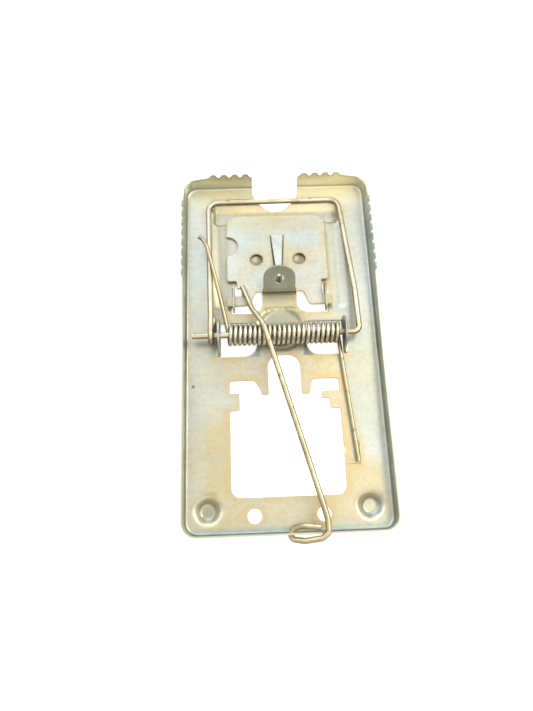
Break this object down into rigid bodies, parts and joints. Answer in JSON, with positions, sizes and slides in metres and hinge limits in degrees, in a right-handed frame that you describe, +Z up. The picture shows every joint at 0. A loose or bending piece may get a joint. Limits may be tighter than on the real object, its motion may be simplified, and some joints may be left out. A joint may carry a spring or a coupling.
{
  "type": "pressed steel mouse trap",
  "caption": "Pressed steel tray mouse trap with a wire striker, torsion spring, baited treadle and long lock wire, shown sprung.",
  "frame": {"origin": "bottom centre of the trap: middle of its box in X and Y, at the level of the table under the pressed feet", "axes": "+X to the right as pictured, +Y from the lock wire's eye to the toothed far end, +Z up"},
  "size_m": [0.054, 0.1032, 0.0099],
  "materials": {
    "tray_sheet": "zinc-plated, yellowed, stained at the edges",
    "treadle_sheet": "zinc-plated, dull",
    "striker_wire": "brassy worn plating",
    "spring_wire": "spring steel, brown in the turns",
    "lock_wire": "brassy worn plating"
  },
  "bodies": {
    "tray": {"tray": "tray_sheet", "torsion_spring": "spring_wire"},
    "striker": {"striker": "striker_wire"},
    "treadle": {"treadle": "treadle_sheet"},
    "lock_wire": {"lock_wire": "lock_wire"}
  },
  "joints": [
    {"name": "striker_swing", "type": "hinge", "parent": "tray", "child": "striker", "pos_m": [0, 0.00285, 0.0052], "axis": [1, 0, 0], "range_deg": [0, 177.5], "stiffness_Nm_per_rad": 0.004, "springref_deg": -28.65, "deforming": ["torsion_spring"]},
    {"name": "treadle_rock", "type": "hinge", "parent": "tray", "child": "treadle", "pos_m": [0, 0.01385, 0.0023], "axis": [1, 0, 0], "range_deg": [0, 6]},
    {"name": "lock_wire_swing", "type": "hinge", "parent": "tray", "child": "lock_wire", "pos_m": [0, -0.0491, 0.00565], "axis": [1, 0, 0], "range_deg": [0, 180]}
  ]
}
